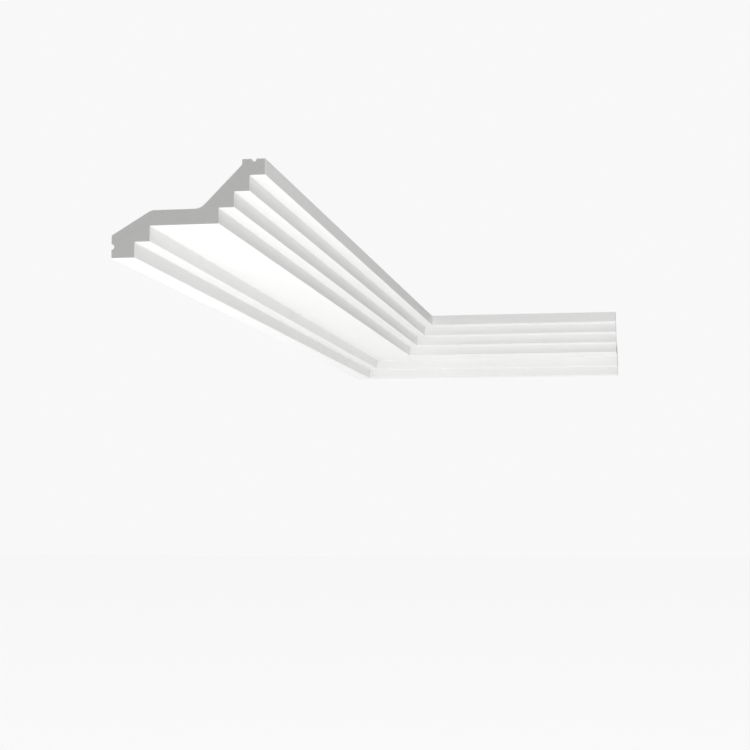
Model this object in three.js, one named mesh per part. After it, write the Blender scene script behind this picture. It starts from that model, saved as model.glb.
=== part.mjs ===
// A stepped cornice moulding that turns an inside corner of a room, where its walls meet the ceiling.
// It is two lengths of one moulded profile, mitred together: a long length on the left wall and a short
// return on the back wall. Each is bonded to its wall and to the ceiling by a flat face with a half-round
// groove for the adhesive, and is hollow behind its steps.
// Units are millimetres. +X runs along the back wall, away from the corner, +Y runs along the left wall
// towards the corner, and +Z is up. The origin is on the long length's wall face, halfway along it, in the
// middle of the strip below the groove.
import * as THREE from "three";

// Length of each run, from the room's corner to its square end
const LONG_LENGTH = 1385;
const RETURN_LENGTH = 469;

// Front of the profile: a foot, two steps up to a wide soffit, then three steps up to the ceiling edge
const FOOT_WIDTH = 24;
const SOFFIT_WIDTH = 70;
const STEP_GOING = 15.5;
const STEP_RISE = 15.7;
const FASCIA_HEIGHT = 16.5;
const LOWER_STEPS = 2;
const UPPER_STEPS = 3;

// Back of the profile: the two faces that carry adhesive, and the hollow between them
const WALL_FACE_HEIGHT = 23;
const CEILING_FACE_WIDTH = 23.5;
const GROOVE_RADIUS = 2.8;
const LIP_HEIGHT = 5.5;
const SOFFIT_THICKNESS = 15.8;
const HOLLOW_FLOOR_SETBACK = 1;
const HOLLOW_BEND_RADIUS = 15;
const HOLLOW_TOP_RADIUS = 2.5;

// Adhesive line between the two mitred ends, square to the joint
const MITRE_GAP = 0.3;

const ARC_SEGMENTS = 8;

// Widths and rises in order, from the wall outwards and from the foot upwards
const goings = [
  FOOT_WIDTH,
  ...Array(LOWER_STEPS - 1).fill(STEP_GOING),
  SOFFIT_WIDTH,
  ...Array(UPPER_STEPS).fill(STEP_GOING),
];
const rises = [...Array(LOWER_STEPS + UPPER_STEPS).fill(STEP_RISE), FASCIA_HEIGHT];
const sum = (list) => list.reduce((total, item) => total + item, 0);

const PROJECTION = sum(goings);
const DROP = sum(rises);
const soffitStart = FOOT_WIDTH + (LOWER_STEPS - 1) * STEP_GOING;
const soffitLevel = LOWER_STEPS * STEP_RISE;

const point = (x, y) => new THREE.Vector2(x, y);

// Adds a corner to an outline as a tangent arc. The line from the corner to next comes with the next call.
function roundedCorner(outline, from, corner, next, radius) {
  const back = from.clone().sub(corner).normalize();
  const ahead = next.clone().sub(corner).normalize();
  const halfAngle = back.angleTo(ahead) / 2;
  const bisector = back.clone().add(ahead).normalize();
  const centre = corner.clone().addScaledVector(bisector, radius / Math.sin(halfAngle));
  const tangent = radius / Math.tan(halfAngle);
  const start = corner.clone().addScaledVector(back, tangent).sub(centre);
  const end = corner.clone().addScaledVector(ahead, tangent).sub(centre);
  const clockwise = start.cross(end) < 0;
  outline.absarc(centre.x, centre.y, radius, start.angle(), end.angle(), clockwise);
}

// The hollow's corners, in order from the ceiling face down to the wall face
function hollowCorners() {
  const ceilingEdge = point(PROJECTION - CEILING_FACE_WIDTH, DROP);
  const lipFoot = point(ceilingEdge.x, DROP - LIP_HEIGHT);
  const floorLevel = soffitLevel + SOFFIT_THICKNESS;
  // From the lip the hollow slopes down at the pitch of the steps in front of it
  const slopeRun = ((lipFoot.y - floorLevel) * STEP_GOING) / STEP_RISE;
  return {
    ceilingEdge,
    lipFoot,
    slopeFoot: point(lipFoot.x - slopeRun, floorLevel),
    heel: point(soffitStart + HOLLOW_FLOOR_SETBACK, floorLevel),
    wallEdge: point(0, WALL_FACE_HEIGHT),
  };
}

// Outline of the profile, anticlockwise: x is the distance from the wall, y the height above the foot
function profile() {
  const outline = new THREE.Shape();
  const front = point(0, 0);
  outline.moveTo(front.x, front.y);
  goings.forEach((going, step) => {
    front.x += going;
    outline.lineTo(front.x, front.y);
    front.y += rises[step];
    outline.lineTo(front.x, front.y);
  });
  const ceilingGroove = PROJECTION - CEILING_FACE_WIDTH / 2;
  outline.absarc(ceilingGroove, DROP, GROOVE_RADIUS, 0, Math.PI, true);
  const { ceilingEdge, lipFoot, slopeFoot, heel, wallEdge } = hollowCorners();
  outline.lineTo(ceilingEdge.x, ceilingEdge.y);
  roundedCorner(outline, ceilingEdge, lipFoot, slopeFoot, HOLLOW_TOP_RADIUS);
  roundedCorner(outline, lipFoot, slopeFoot, heel, HOLLOW_BEND_RADIUS);
  roundedCorner(outline, slopeFoot, heel, wallEdge, HOLLOW_BEND_RADIUS);
  outline.lineTo(wallEdge.x, wallEdge.y);
  const wallGroove = WALL_FACE_HEIGHT / 2;
  outline.absarc(0, wallGroove, GROOVE_RADIUS, Math.PI / 2, -Math.PI / 2, true);
  outline.closePath();
  return outline;
}

// One length of moulding. Its own +Z runs along it, x is the distance from the wall and y the height.
// The mitred end is the square end slid along by each point's distance from the wall.
function mouldingLength(name, length, mitredEnd) {
  const geometry = new THREE.ExtrudeGeometry(profile(), {
    depth: length,
    bevelEnabled: false,
    curveSegments: ARC_SEGMENTS,
  });
  const position = geometry.getAttribute("position");
  const setBack = MITRE_GAP / 2 / Math.sin(Math.PI / 4);
  for (let i = 0; i < position.count; i++) {
    const fromWall = position.getX(i);
    const atFarEnd = position.getZ(i) > length / 2;
    if (atFarEnd && mitredEnd === "far") {
      position.setZ(i, length - fromWall - setBack);
    } else if (!atFarEnd && mitredEnd === "near") {
      position.setZ(i, fromWall + setBack);
    }
  }
  geometry.computeVertexNormals();
  const mesh = new THREE.Mesh(geometry, primedPolymer());
  mesh.name = name;
  mesh.rotation.x = Math.PI / 2;
  return mesh;
}

// White primed polymer, matt
function primedPolymer() {
  return new THREE.MeshStandardMaterial({ color: 0xf1f1f0, roughness: 0.75, metalness: 0 });
}

// The long length runs from the corner towards -Y, on the left wall
const longRun = new THREE.Group();
longRun.add(mouldingLength("long_length", LONG_LENGTH, "near"));

// The return is the same stock turned a quarter turn, from its square end back to the corner
const returnRun = new THREE.Group();
returnRun.rotation.z = -Math.PI / 2;
const returnLength = mouldingLength("return_length", RETURN_LENGTH, "far");
returnLength.position.y = RETURN_LENGTH;
returnRun.add(returnLength);

// Both runs start at the room's corner, at the level of the foot
const cornice = new THREE.Group();
const stripBelowGroove = WALL_FACE_HEIGHT / 2 - GROOVE_RADIUS;
cornice.position.set(0, LONG_LENGTH / 2, -stripBelowGroove / 2);
cornice.add(longRun, returnRun);

const model = new THREE.Group();
model.add(cornice);

export default model;
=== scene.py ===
import math

import bmesh
import bpy
from mathutils import Matrix, Vector


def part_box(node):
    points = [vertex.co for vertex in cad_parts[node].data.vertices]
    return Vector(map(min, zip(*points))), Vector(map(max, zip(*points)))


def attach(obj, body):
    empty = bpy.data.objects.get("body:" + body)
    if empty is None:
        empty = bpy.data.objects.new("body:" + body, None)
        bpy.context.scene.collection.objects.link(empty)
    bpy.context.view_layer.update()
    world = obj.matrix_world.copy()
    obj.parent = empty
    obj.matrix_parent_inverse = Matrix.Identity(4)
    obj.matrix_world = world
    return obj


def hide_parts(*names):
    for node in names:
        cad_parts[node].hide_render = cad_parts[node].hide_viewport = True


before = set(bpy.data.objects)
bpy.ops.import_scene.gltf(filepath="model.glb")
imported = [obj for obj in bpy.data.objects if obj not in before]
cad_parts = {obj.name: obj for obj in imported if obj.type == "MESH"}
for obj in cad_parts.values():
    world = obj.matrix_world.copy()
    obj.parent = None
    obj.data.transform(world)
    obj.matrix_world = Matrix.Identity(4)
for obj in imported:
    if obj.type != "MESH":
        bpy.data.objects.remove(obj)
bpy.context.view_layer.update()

# A stepped cornice moulding in two lengths of one profile, mitred together to turn a square corner.
# Units are metres. +X runs along the short return, away from the joint, +Y runs along the long length
# towards the joint, and +Z is up.
MM = 0.001

# The moulding's front, as in the solids: a foot, two steps, a wide soffit, three steps and a fascia
FOOT_WIDTH = 24 * MM
SOFFIT_WIDTH = 70 * MM
STEP_GOING = 15.5 * MM
STEP_RISE = 15.7 * MM
FASCIA_HEIGHT = 16.5 * MM
LOWER_STEPS = 2
UPPER_STEPS = 3

# Its back, as in the solids: an upright bearing face above the foot and a level one behind the fascia's
# top, with a groove for adhesive in each, and the hollow between them
UPRIGHT_FACE_HEIGHT = 23 * MM
TOP_FACE_WIDTH = 23.5 * MM
GROOVE_RADIUS = 2.8 * MM
LIP_HEIGHT = 5.5 * MM
SOFFIT_THICKNESS = 15.8 * MM
HOLLOW_FLOOR_SETBACK = 1 * MM
HOLLOW_BEND_RADIUS = 15 * MM
HOLLOW_TOP_RADIUS = 2.5 * MM

# What the die, the spray gun and the saw leave: no edge of the front is truly sharp
ARRIS_RADIUS = 0.6 * MM
CREASE_RADIUS = 0.9 * MM
BACK_EDGE_RADIUS = 0.8 * MM
OVERSPRAY_WIDTH = 3 * MM
SAWN_EDGE = 0.25 * MM
SKIN_DEPTH = 1.1 * MM

# The joint: the line of adhesive that shows, and the angle of each mitred end to its length
MITRE_LINE = 0.05 * MM
MITRE_ANGLE = math.radians(45)

# How finely a rounded corner and a groove are stepped, and the bend from which an edge shades as sharp
CORNER_STEPS = 6
GROOVE_STEPS = 14
SHARP_BEND = math.radians(50)

# The finishes, in the order of each piece's material slots
COAT, BARE, SAWN = range(3)

# Below, a colour is linear red, green, blue and alpha. A pair of numbers is what an effect's 0 and 1
# stand for. A shade is how strongly an effect draws the colour towards the darker one.

# The coat's streaks, which run along a length, and how many times bigger those of the bare back are
STREAK_WIDTH = 1.5 * MM
STREAK_LENGTH = 250 * MM
BARE_STREAK_FACTOR = 4.0

# The white primed coat: streaks of the die, marks of handling, the spray's peel, and nibs of dust
COAT_WHITE = (0.802, 0.802, 0.798, 1.0)
COAT_DULL = (0.735, 0.734, 0.725, 1.0)
COAT_ROUGHNESS = (0.58, 0.74)
COAT_SPECULAR = 0.35
COAT_STREAK_DETAIL = 3.0
COAT_STREAK_HEIGHT = 0.03 * MM
COAT_HANDLING = {"Size": 90 * MM, "Detail": 3.0}
COAT_PEEL = {"Size": 2.2 * MM, "Detail": 1.0}
COAT_PEEL_HEIGHT = 0.03 * MM
COAT_NIBS = {"Spacing": 6 * MM, "Radius": 0.4 * MM, "Share": 0.6}
COAT_NIB_HEIGHT = 0.06 * MM
COAT_NIB_SHADE = 0.6

# The bare back: softer streaks, scuffs that vary them and the overspray, pebbles, grain and pits
BARE_LIGHT = (0.630, 0.630, 0.620, 1.0)
BARE_DARK = (0.470, 0.470, 0.456, 1.0)
BARE_ROUGHNESS = (0.6, 0.8)
BARE_STREAK_DETAIL = 2.5
BARE_STREAK_HEIGHT = 0.02 * MM
BARE_SCUFFS = {"Size": 50 * MM, "Detail": 5.0}
BARE_STREAK_SHADE = (0.0, 2.0)
BARE_MIST_COVER = (0.6, 1.3)
BARE_PEBBLES = {"Size": 2.4 * MM, "Detail": 2.0}
BARE_PEBBLE_HEIGHT = 0.08 * MM
BARE_GRAIN = {"Size": 0.7 * MM, "Detail": 2.0}
BARE_GRAIN_HEIGHT = 0.02 * MM
BARE_PITS = {"Spacing": 5 * MM, "Radius": 0.6 * MM, "Share": 0.6}
BARE_PIT_DEPTH = 0.15 * MM

# The sawn section: opened foam cells, marks of the saw, clouds of denser foam, voids and a dense skin.
# The marks lean from upright by an angle.
SAWN_CELL_MIDDLE = (0.420, 0.420, 0.415, 1.0)
SAWN_CELL_RIM = (0.472, 0.472, 0.467, 1.0)
SAWN_CLOUD = (0.405, 0.405, 0.400, 1.0)
SAWN_SKIN = (0.480, 0.480, 0.475, 1.0)
SAWN_VOID = (0.320, 0.320, 0.315, 1.0)
SAWN_ROUGHNESS = (0.95, 0.8)
SAWN_CELLS = {"Size": 0.55 * MM, "Sharpness": 1.4}
SAWN_CELL_HEIGHT = 0.06 * MM
SAWN_MARKS = {"Pitch": 1.6 * MM, "Waver": 2.5, "Waver size": 30 * MM}
SAWN_MARK_LEAN = math.radians(20)
SAWN_MARK_HEIGHT = 0.03 * MM
SAWN_MARK_SHADE = 0.2
SAWN_CLOUDS = {"Size": 20 * MM, "Detail": 2.0}
SAWN_CLOUD_SHADE = 0.3
SAWN_VOIDS = {"Spacing": 3.5 * MM, "Radius": 0.6 * MM, "Share": 0.5}
SAWN_VOID_DEPTH = 0.3 * MM
WAVER_DETAIL = 2.0

# The camera looks up at the moulding from below and from the right. Its place and reach are in metres,
# its focal length in pixels of the image and its sensor in millimetres.
CAMERA_PLACE = (0.5226, -2.2107, -0.2647)
CAMERA_TILT = math.radians(5.210)
CAMERA_TURN = math.radians(9.636)
CAMERA_REACH = 500.0
FOCAL_PIXELS = 1617.5
IMAGE_PIXELS = 750
SENSOR_WIDTH = 36.0

# The studio, in metres. The floor is as bright as the background, so that no line shows where they
# meet. The overhead light's power is in watts per square metre.
FLOOR_LEVEL = -2.4
FLOOR_SIZE = 200.0
FLOOR_PALE = (0.870, 0.870, 0.870, 1.0)
FLOOR_ROUGHNESS = 0.9
BACKGROUND_WHITE = (1.0, 1.0, 1.0, 1.0)
BACKGROUND_BRIGHTNESS = 0.94
OVERHEAD_POWER = 3.54
OVERHEAD_SPREAD = math.radians(60)

# Each soft light's place, the point that it faces, its side in metres and its power in watts
SOFT_LIGHTS = {
    "Low light ahead": ((0.3, -2.2, -1.8), (0.1, -0.5, 0.0), 1.2, 30.0),
    "High light ahead": ((0.9, -2.4, 1.0), (0.3, 0.5, 0.0), 1.2, 1.4),
    "High light on the right": ((1.7, -1.3, 0.8), (0.15, -0.6, 0.0), 1.0, 4.2),
}


# The outline, anticlockwise: x is the distance out from the upright face, y the height above the foot

class Corner:
    """A corner of the outline, its radius, and the finish on it and on the side that follows it."""

    def __init__(self, x, y, radius, finish, next_finish=None):
        self.place = Vector((x, y))
        self.radius = radius
        self.finish = finish
        self.next_finish = finish if next_finish is None else next_finish

    def points(self, before, after, depth):
        """The corner's arc, or its one point, with the outline moved into the material by a depth."""
        arriving = (self.place - before).normalized()
        leaving = (after - self.place).normalized()
        angle = math.atan2(arriving.cross(leaving), arriving.dot(leaving))
        inward = left_of(arriving + leaving).normalized()
        corner = self.place + inward * depth / math.cos(angle / 2)
        if self.radius == 0.0:
            return [corner]
        # The move shrinks the arc of an arris, where the outline turns left, and widens that of a crease
        turns_left = angle > 0
        radius = self.radius - depth if turns_left else self.radius + depth
        if radius <= 0.0:
            return [corner]
        start = corner - arriving * radius * math.tan(abs(angle) / 2)
        spoke = left_of(arriving) * radius * (-1 if turns_left else 1)
        return arc(start - spoke, spoke, angle, CORNER_STEPS)


class Groove:
    """A half-round groove for adhesive in a bearing face, centred on a point of that face."""

    finish = BARE
    next_finish = BARE

    def __init__(self, x, y):
        self.place = Vector((x, y))

    def points(self, before, after, depth):
        """The groove's arc from one edge of its mouth to the other, both on the moved bearing face."""
        along = (after - before).normalized()
        radius = GROOVE_RADIUS + depth
        mouth = math.asin(depth / radius)
        spoke = Matrix.Rotation(math.pi - mouth, 2) @ along * radius
        return arc(self.place, spoke, 2 * mouth - math.pi, GROOVE_STEPS)


def left_of(direction):
    """The direction a quarter turn to the left."""
    return Vector((-direction.y, direction.x))


def arc(centre, spoke, angle, steps):
    """Points round a centre, from the end of a spoke and turning left by an angle."""
    return [centre + Matrix.Rotation(angle * step / steps, 2) @ spoke for step in range(steps + 1)]


def front_corners():
    """The corners of the coated front, from the foot's back edge to the fascia's top."""
    lower_goings = [FOOT_WIDTH] + [STEP_GOING] * (LOWER_STEPS - 1)
    upper_goings = [SOFFIT_WIDTH] + [STEP_GOING] * UPPER_STEPS
    rises = [STEP_RISE] * (LOWER_STEPS + UPPER_STEPS) + [FASCIA_HEIGHT]
    x = y = 0.0
    corners = [Corner(x, y, ARRIS_RADIUS, COAT)]
    for going, rise in zip(lower_goings + upper_goings, rises):
        x += going
        corners.append(Corner(x, y, ARRIS_RADIUS, COAT))
        y += rise
        corners.append(Corner(x, y, CREASE_RADIUS, COAT))
    # The fascia's top is an arris too, and the bare back starts after it
    corners[-1] = Corner(x, y, ARRIS_RADIUS, COAT, BARE)
    return corners


def back_corners(projection, drop):
    """The corners and grooves of the bare back, from the top face down to the upright face."""
    top_face_edge = projection - TOP_FACE_WIDTH
    hollow_floor = LOWER_STEPS * STEP_RISE + SOFFIT_THICKNESS
    lip_foot = drop - LIP_HEIGHT
    # From the lip the hollow slopes down at the pitch of the steps in front of it
    slope_foot = top_face_edge - (lip_foot - hollow_floor) * STEP_GOING / STEP_RISE
    heel = FOOT_WIDTH + (LOWER_STEPS - 1) * STEP_GOING + HOLLOW_FLOOR_SETBACK
    return [
        Corner(projection - OVERSPRAY_WIDTH, drop, 0.0, BARE),
        Groove(projection - TOP_FACE_WIDTH / 2, drop),
        Corner(top_face_edge, drop, BACK_EDGE_RADIUS, BARE),
        Corner(top_face_edge, lip_foot, HOLLOW_TOP_RADIUS, BARE),
        Corner(slope_foot, hollow_floor, HOLLOW_BEND_RADIUS, BARE),
        Corner(heel, hollow_floor, HOLLOW_BEND_RADIUS, BARE),
        Corner(0.0, UPRIGHT_FACE_HEIGHT, BACK_EDGE_RADIUS, BARE),
        Groove(0.0, UPRIGHT_FACE_HEIGHT / 2),
        Corner(0.0, OVERSPRAY_WIDTH, 0.0, BARE),
    ]


def outline(corners, depth):
    """The outline moved into the material by a depth, as one list of points for each corner."""
    places = [corner.place for corner in corners]
    following = places[1:] + places[:1]
    return [corner.points(places[index - 1], following[index], depth)
            for index, corner in enumerate(corners)]


# The pieces

def moulding_piece(name, length, place):
    """A length of moulding, sawn square at one end and mitred at the other, with both ends closed.

    place(x, y, from_end) gives the point that is x out from the upright face, y above the foot and
    from_end from the square end.
    """
    front = front_corners()
    corners = front + back_corners(*front[-1].place)
    mitre = length - MITRE_LINE / 2 / math.sin(MITRE_ANGLE)
    bm = bmesh.new()
    bm.verts.layers.float.new("coat")
    bm.verts.layers.float.new("skin")
    # Two rings bound the dense skin on the square end. The third is where its sawn edge ends.
    core = add_ring(bm, corners, place, lambda x: 0.0, depth=SAWN_EDGE + SKIN_DEPTH, skin=0.0)
    sawn = add_ring(bm, corners, place, lambda x: 0.0, depth=SAWN_EDGE)
    square = add_ring(bm, corners, place, lambda x: SAWN_EDGE)
    mitred = add_ring(bm, corners, place, lambda x: mitre - x / math.tan(MITRE_ANGLE))
    join_rings(bm, corners, core, sawn, smooth=False, finish=SAWN)
    join_rings(bm, corners, sawn, square, smooth=False)
    join_rings(bm, corners, square, mitred, smooth=True)
    for end in (core, mitred):
        cap = bm.faces.new([vert for verts in end for vert in verts])
        cap.material_index = SAWN
    bmesh.ops.recalc_face_normals(bm, faces=bm.faces)
    for edge in bm.edges:
        edge.smooth = edge.calc_face_angle() < SHARP_BEND

    mesh = bpy.data.meshes.new(name)
    bm.to_mesh(mesh)
    bm.free()
    piece = bpy.data.objects.new(name, mesh)
    bpy.context.scene.collection.objects.link(piece)
    shading = piece.modifiers.new("Flat faces stay flat", "WEIGHTED_NORMAL")
    shading.keep_sharp = True
    return piece


def add_ring(bm, corners, place, from_end_at, depth=0.0, skin=1.0):
    """Adds the outline's points at one end or edge, as one list of them for each corner.

    from_end_at(x) is how far the points that are x out from the upright face lie from the square end.
    Each point knows whether it is coated and whether it is in the dense skin.
    """
    coat_layer = bm.verts.layers.float["coat"]
    skin_layer = bm.verts.layers.float["skin"]
    ring = []
    for corner, points in zip(corners, outline(corners, depth)):
        verts = [bm.verts.new(place(point.x, point.y, from_end_at(point.x))) for point in points]
        for vert in verts:
            vert[coat_layer] = float(corner.finish == COAT)
            vert[skin_layer] = skin
        ring.append(verts)
    return ring


def join_rings(bm, corners, near, far, smooth, finish=None):
    """Closes the space between two rings, in one finish or else in the finishes of the outline."""
    for index, corner in enumerate(corners):
        following = (index + 1) % len(corners)
        for near_pair, far_pair in arc_pairs(near[index], far[index]):
            add_face(bm, near_pair, far_pair, smooth, corner.finish if finish is None else finish)
        near_pair = (near[index][-1], near[following][0])
        far_pair = (far[index][-1], far[following][0])
        add_face(bm, near_pair, far_pair, smooth, corner.next_finish if finish is None else finish)


def arc_pairs(near, far):
    """The neighbouring points of two arcs, side by side. Either arc may be a single point."""
    for step in range(max(len(near), len(far)) - 1):
        near_pair = near[step:step + 2] if len(near) > 1 else near * 2
        far_pair = far[step:step + 2] if len(far) > 1 else far * 2
        yield near_pair, far_pair


def add_face(bm, near_pair, far_pair, smooth, finish):
    """Adds a face between two pairs of points, a triangle where a pair is one point twice."""
    verts = list(dict.fromkeys((*near_pair, *reversed(far_pair))))
    face = bm.faces.new(verts)
    face.material_index = finish
    face.smooth = smooth


# The node helpers

def feed(tree, value, socket):
    """Sets a socket to a plain value, or links another node's output to it."""
    if isinstance(value, bpy.types.NodeSocket):
        tree.links.new(value, socket)
    else:
        socket.default_value = value


def calc(tree, operation, *operands, clamp=False):
    """The result of a maths node, whose operands are numbers or other nodes' outputs."""
    node = tree.nodes.new("ShaderNodeMath")
    node.operation = operation
    node.use_clamp = clamp
    for operand, socket in zip(operands, node.inputs):
        feed(tree, operand, socket)
    return node.outputs[0]


def vector_calc(tree, operation, result, *operands):
    """The named result of a vector maths node, whose operands are vectors or other nodes' outputs."""
    node = tree.nodes.new("ShaderNodeVectorMath")
    node.operation = operation
    for operand, socket in zip(operands, node.inputs):
        feed(tree, operand, socket)
    return node.outputs[result]


def position(tree):
    """The place on the object, in metres, in its own frame."""
    return tree.nodes.new("ShaderNodeTexCoord").outputs["Object"]


def noise_at(tree, vector, scale, detail):
    """Soft noise of 0 to 1 at a place. The scale is how many of its blotches fit in one unit."""
    node = tree.nodes.new("ShaderNodeTexNoise")
    feed(tree, vector, node.inputs["Vector"])
    feed(tree, scale, node.inputs["Scale"])
    feed(tree, detail, node.inputs["Detail"])
    return node.outputs["Fac"]


def cells_of(tree, size):
    """A field of irregular cells of about the given size."""
    cells = tree.nodes.new("ShaderNodeTexVoronoi")
    feed(tree, position(tree), cells.inputs["Vector"])
    feed(tree, calc(tree, "DIVIDE", 1.0, size), cells.inputs["Scale"])
    return cells


def effect(tree, group, values):
    """The output of a shared effect, placed in a material with values of its own."""
    node = tree.nodes.new("ShaderNodeGroup")
    node.node_tree = group
    for label, value in values.items():
        node.inputs[label].default_value = value
    return node.outputs[0]


def vertex_mask(tree, layer):
    """A mask of 0 to 1 that the mesh's points carry under a name."""
    node = tree.nodes.new("ShaderNodeAttribute")
    node.attribute_name = layer
    return node.outputs["Fac"]


def blend_colours(tree, factor, low, high):
    """A colour between two, each of them a colour or another node's output."""
    mix = tree.nodes.new("ShaderNodeMix")
    mix.data_type = "RGBA"
    colour_a, colour_b = [socket for socket in mix.inputs if socket.type == "RGBA"]
    feed(tree, factor, mix.inputs["Factor"])
    feed(tree, low, colour_a)
    feed(tree, high, colour_b)
    return next(socket for socket in mix.outputs if socket.type == "RGBA")


def between(tree, factor, ends):
    """A number that runs from the first of two ends to the second as the factor runs from 0 to 1."""
    spread = tree.nodes.new("ShaderNodeMapRange")
    low, high = ends
    spread.inputs["To Min"].default_value = low
    spread.inputs["To Max"].default_value = high
    feed(tree, factor, spread.inputs["Value"])
    return spread.outputs["Result"]


def relief(tree, shader, *layers):
    """Raises the surface by a sum of layers, each an effect of 0 to 1 and its height in metres.

    The sum is in millimetres, so that its numbers aren't tiny. The bump's Distance makes it metres again.
    """
    total = 0.0
    for layer, height in layers:
        total = calc(tree, "MULTIPLY_ADD", layer, height / MM, total)
    bump = tree.nodes.new("ShaderNodeBump")
    bump.inputs["Distance"].default_value = MM
    feed(tree, total, bump.inputs["Height"])
    feed(tree, bump.outputs["Normal"], shader.inputs["Normal"])


# The shared effects

def shader_group(name, inputs, output):
    """An empty shader node group, with the sockets of its named inputs and of its one output.

    inputs gives each input's value until a material sets its own: a number, or three for a vector.
    """
    group = bpy.data.node_groups.new(name, "ShaderNodeTree")
    for label, value in inputs.items():
        kind = "NodeSocketVector" if isinstance(value, tuple) else "NodeSocketFloat"
        socket = group.interface.new_socket(label, in_out="INPUT", socket_type=kind)
        socket.default_value = value
    group.interface.new_socket(output, in_out="OUTPUT", socket_type="NodeSocketFloat")
    given = group.nodes.new("NodeGroupInput").outputs
    result = group.nodes.new("NodeGroupOutput").inputs[output]
    return group, given, result


def streak_group():
    """Long faint streaks that the die leaves along a length, as 0 to 1.

    Stretch is how many streaks there are to a metre in each direction.
    """
    inputs = {"Stretch": (1.0, 1.0, 1.0), "Detail": 3.0}
    group, given, result = shader_group("Lengthwise streaks", inputs, "Streaks")
    stretched = vector_calc(group, "MULTIPLY", "Vector", position(group), given["Stretch"])
    feed(group, noise_at(group, stretched, 1.0, given["Detail"]), result)
    return group


def mottle_group():
    """Soft blotches of a given size, for handling, dust and the peel of a sprayed coat, as 0 to 1."""
    inputs = {"Size": 10 * MM, "Detail": 2.0}
    group, given, result = shader_group("Soft mottle", inputs, "Mottle")
    scale = calc(group, "DIVIDE", 1.0, given["Size"])
    feed(group, noise_at(group, position(group), scale, given["Detail"]), result)
    return group


def cell_group():
    """The fine foam that the saw opens: 0 in the middle of a cell, up to 1 on its rim."""
    inputs = {"Size": 0.5 * MM, "Sharpness": 1.4}
    group, given, result = shader_group("Opened foam cells", inputs, "Rims")
    from_middle = cells_of(group, given["Size"]).outputs["Distance"]
    feed(group, calc(group, "MULTIPLY", from_middle, given["Sharpness"], clamp=True), result)
    return group


def speck_group():
    """Small round specks: 1 in the middle of a speck, 0 between specks. A share of the cells has one."""
    inputs = {"Spacing": 6 * MM, "Radius": 0.4 * MM, "Share": 0.5}
    group, given, result = shader_group("Scattered specks", inputs, "Specks")
    cells = cells_of(group, given["Spacing"])
    from_middle = calc(group, "MULTIPLY", cells.outputs["Distance"], given["Spacing"])
    dome = calc(group, "SUBTRACT", 1.0, calc(group, "DIVIDE", from_middle, given["Radius"]), clamp=True)
    draw = group.nodes.new("ShaderNodeSeparateColor")
    feed(group, cells.outputs["Color"], draw.inputs["Color"])
    chosen = calc(group, "LESS_THAN", draw.outputs["Red"], given["Share"])
    feed(group, calc(group, "MULTIPLY", dome, chosen), result)
    return group


def saw_group():
    """Fine wavering marks of a saw, one after another in the given direction, as 0 to 1.

    Waver is how many pitches a mark strays by at most, and Waver size is how far apart its bends are.
    """
    inputs = {"Direction": (1.0, 0.0, 0.0), "Pitch": 1.6 * MM, "Waver": 2.5, "Waver size": 30 * MM}
    group, given, result = shader_group("Saw marks", inputs, "Marks")
    along = vector_calc(group, "DOT_PRODUCT", "Value", position(group), given["Direction"])
    marks_passed = calc(group, "DIVIDE", along, given["Pitch"])
    scale = calc(group, "DIVIDE", 1.0, given["Waver size"])
    waver = noise_at(group, position(group), scale, WAVER_DETAIL)
    wavering = calc(group, "MULTIPLY_ADD", waver, given["Waver"], marks_passed)
    wave = calc(group, "SINE", calc(group, "MULTIPLY", wavering, 2 * math.pi))
    # The wave runs from -1 to 1. Half of it, raised by a half, runs from 0 to 1.
    feed(group, calc(group, "MULTIPLY_ADD", wave, 0.5, 0.5), result)
    return group


# The materials. Each takes the shared effects, and the streaks' stretch or the saw marks' direction.

def new_material(name):
    """A new material, its node tree and its shader."""
    material = bpy.data.materials.new(name)
    material.use_nodes = True
    return material, material.node_tree, material.node_tree.nodes["Principled BSDF"]


def primed_coat(stretch, effects):
    """Matt white primer, sprayed over the moulded front."""
    material, tree, shader = new_material("White primed coat")
    die_lines = effect(tree, effects["streaks"], {"Stretch": stretch, "Detail": COAT_STREAK_DETAIL})
    handling = effect(tree, effects["mottle"], COAT_HANDLING)
    peel = effect(tree, effects["mottle"], COAT_PEEL)
    nibs = effect(tree, effects["specks"], COAT_NIBS)
    worn_lines = calc(tree, "MULTIPLY", die_lines, handling)
    shade = calc(tree, "MULTIPLY_ADD", nibs, COAT_NIB_SHADE, worn_lines)
    feed(tree, blend_colours(tree, shade, COAT_WHITE, COAT_DULL), shader.inputs["Base Color"])
    feed(tree, between(tree, handling, COAT_ROUGHNESS), shader.inputs["Roughness"])
    relief(tree, shader, (peel, COAT_PEEL_HEIGHT), (die_lines, COAT_STREAK_HEIGHT),
           (nibs, COAT_NIB_HEIGHT))
    shader.inputs["Specular IOR Level"].default_value = COAT_SPECULAR
    return material


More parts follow.
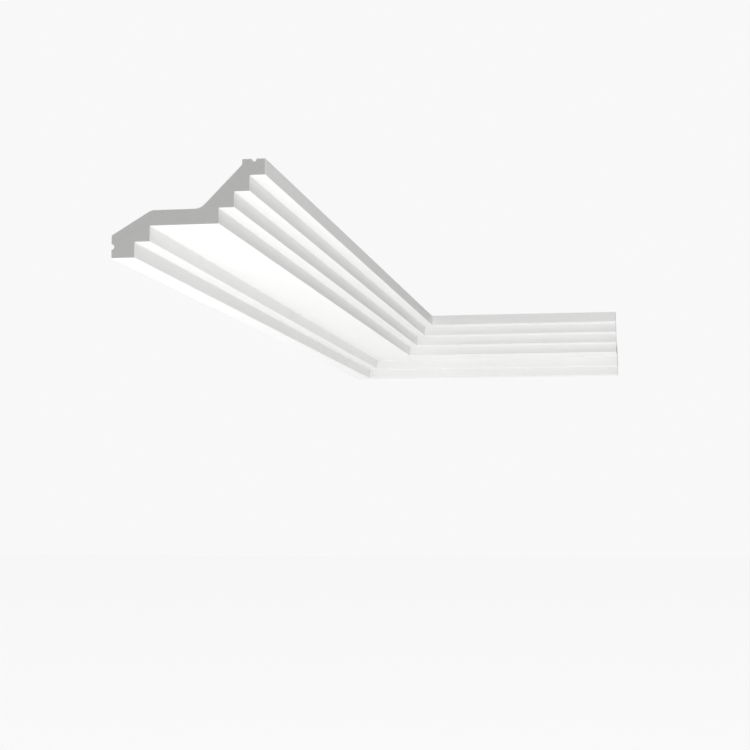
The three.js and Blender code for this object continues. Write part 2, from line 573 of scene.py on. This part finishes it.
def bare_polymer(stretch, effects):
    """The uncoated back, greyer and faintly pebbled, with overspray beside the coated arrises."""
    material, tree, shader = new_material("Bare polymer back")
    broad = [part / BARE_STREAK_FACTOR for part in stretch]
    die_lines = effect(tree, effects["streaks"], {"Stretch": broad, "Detail": BARE_STREAK_DETAIL})
    scuffs = effect(tree, effects["mottle"], BARE_SCUFFS)
    pebbles = effect(tree, effects["mottle"], BARE_PEBBLES)
    grain = effect(tree, effects["mottle"], BARE_GRAIN)
    pits = effect(tree, effects["specks"], BARE_PITS)
    worn_lines = calc(tree, "MULTIPLY", die_lines, between(tree, scuffs, BARE_STREAK_SHADE))
    shade = calc(tree, "ADD", worn_lines, pits, clamp=True)
    polymer = blend_colours(tree, shade, BARE_LIGHT, BARE_DARK)
    cover = between(tree, scuffs, BARE_MIST_COVER)
    mist = calc(tree, "MULTIPLY", vertex_mask(tree, "coat"), cover, clamp=True)
    feed(tree, blend_colours(tree, mist, polymer, COAT_WHITE), shader.inputs["Base Color"])
    feed(tree, between(tree, scuffs, BARE_ROUGHNESS), shader.inputs["Roughness"])
    relief(tree, shader, (die_lines, BARE_STREAK_HEIGHT), (pebbles, BARE_PEBBLE_HEIGHT),
           (grain, BARE_GRAIN_HEIGHT), (pits, -BARE_PIT_DEPTH))
    return material


def sawn_section(direction, effects):
    """The sawn end: grey foam with fine open cells, a few voids, saw marks and a dense skin."""
    material, tree, shader = new_material("Sawn polymer section")
    rims = effect(tree, effects["cells"], SAWN_CELLS)
    marks = effect(tree, effects["saw"], {"Direction": direction, **SAWN_MARKS})
    clouds = effect(tree, effects["mottle"], SAWN_CLOUDS)
    voids = effect(tree, effects["specks"], SAWN_VOIDS)
    foam = blend_colours(tree, rims, SAWN_CELL_MIDDLE, SAWN_CELL_RIM)
    clouding = calc(tree, "MULTIPLY", clouds, SAWN_CLOUD_SHADE)
    shade = calc(tree, "MULTIPLY_ADD", marks, SAWN_MARK_SHADE, clouding)
    marked = blend_colours(tree, shade, foam, SAWN_CLOUD)
    skinned = blend_colours(tree, vertex_mask(tree, "skin"), marked, SAWN_SKIN)
    feed(tree, blend_colours(tree, voids, skinned, SAWN_VOID), shader.inputs["Base Color"])
    feed(tree, between(tree, rims, SAWN_ROUGHNESS), shader.inputs["Roughness"])
    relief(tree, shader, (rims, SAWN_CELL_HEIGHT), (marks, SAWN_MARK_HEIGHT), (voids, -SAWN_VOID_DEPTH))
    return material


def build_cornice():
    """The two lengths, each in the place of its solid, mitred together."""
    effects = {
        "streaks": streak_group(),
        "mottle": mottle_group(),
        "cells": cell_group(),
        "specks": speck_group(),
        "saw": saw_group(),
    }
    # The boxes of the solids give each length's upright face and square end, and the foot's underside
    (long_back, long_end, foot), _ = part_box("long_length")
    _, (return_end, return_back, _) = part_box("return_length")
    # Streaks to a metre, and the two parts of the direction in which one saw mark follows another
    across = 1 / STREAK_WIDTH
    lengthwise = 1 / STREAK_LENGTH
    level_part = math.cos(SAWN_MARK_LEAN)
    upright_part = math.sin(SAWN_MARK_LEAN)
    lengths = {
        "long_length": {
            "length": return_back - long_end,
            "place": lambda x, y, from_end: (long_back + x, long_end + from_end, foot + y),
            "stretch": (across, lengthwise, across),
            "direction": (level_part, 0.0, upright_part),
        },
        "return_length": {
            "length": return_end - long_back,
            "place": lambda x, y, from_end: (return_end - from_end, return_back - x, foot + y),
            "stretch": (lengthwise, across, across),
            "direction": (0.0, level_part, upright_part),
        },
    }
    for node, facts in lengths.items():
        piece = moulding_piece("cornice_" + node, facts["length"], facts["place"])
        piece.data.materials.append(primed_coat(facts["stretch"], effects))
        piece.data.materials.append(bare_polymer(facts["stretch"], effects))
        piece.data.materials.append(sawn_section(facts["direction"], effects))
        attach(piece, "root")
        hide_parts(node)


# The studio

def add_camera():
    """The camera at the photograph's viewing angle."""
    camera = bpy.data.cameras.new("Camera")
    camera.sensor_width = SENSOR_WIDTH
    camera.lens = SENSOR_WIDTH * FOCAL_PIXELS / IMAGE_PIXELS
    camera.clip_end = CAMERA_REACH
    holder = bpy.data.objects.new("Camera", camera)
    holder.location = CAMERA_PLACE
    holder.rotation_euler = (math.pi / 2 + CAMERA_TILT, 0.0, CAMERA_TURN)
    bpy.context.scene.collection.objects.link(holder)
    bpy.context.scene.camera = holder


def add_floor():
    """A plain pale floor that throws the overhead light back up. It ends too far off to be noticed."""
    half = FLOOR_SIZE / 2
    corners = [
        (-half, -half, FLOOR_LEVEL),
        (half, -half, FLOOR_LEVEL),
        (half, half, FLOOR_LEVEL),
        (-half, half, FLOOR_LEVEL),
    ]
    mesh = bpy.data.meshes.new("Floor")
    mesh.from_pydata(corners, [], [(0, 1, 2, 3)])
    floor = bpy.data.objects.new("Floor", mesh)
    bpy.context.scene.collection.objects.link(floor)
    material, _, shader = new_material("Pale studio floor")
    shader.inputs["Base Color"].default_value = FLOOR_PALE
    shader.inputs["Roughness"].default_value = FLOOR_ROUGHNESS
    mesh.materials.append(material)


def add_soft_light(name, place, target, size, power):
    """A square light that faces its target and isn't seen itself."""
    light = bpy.data.lights.new(name, "AREA")
    light.size = size
    light.energy = power
    holder = bpy.data.objects.new(name, light)
    holder.location = place
    aim = Vector(target) - Vector(place)
    holder.rotation_euler = aim.to_track_quat("-Z", "Y").to_euler()
    holder.visible_camera = False
    bpy.context.scene.collection.objects.link(holder)


def add_overhead_light():
    """Light from straight above, from so wide a disc that it draws no outline on the floor."""
    light = bpy.data.lights.new("Overhead light", "SUN")
    light.energy = OVERHEAD_POWER
    light.angle = OVERHEAD_SPREAD
    holder = bpy.data.objects.new("Overhead light", light)
    bpy.context.scene.collection.objects.link(holder)


def add_background():
    """A plain pale background that is seen but lights nothing."""
    world = bpy.data.worlds.new("Studio")
    world.use_nodes = True
    tree = world.node_tree
    background = tree.nodes["Background"]
    background.inputs["Color"].default_value = BACKGROUND_WHITE
    rays = tree.nodes.new("ShaderNodeLightPath")
    seen = calc(tree, "MULTIPLY", rays.outputs["Is Camera Ray"], BACKGROUND_BRIGHTNESS)
    feed(tree, seen, background.inputs["Strength"])
    bpy.context.scene.world = world


def light_studio():
    """Most of the light is what the pale floor throws back up. Three soft lights shape the front."""
    add_overhead_light()
    for name, (place, target, size, power) in SOFT_LIGHTS.items():
        add_soft_light(name, place, target, size, power)
    add_background()
    bpy.context.scene.view_settings.view_transform = "Standard"


add_camera()
add_floor()
build_cornice()
light_studio()
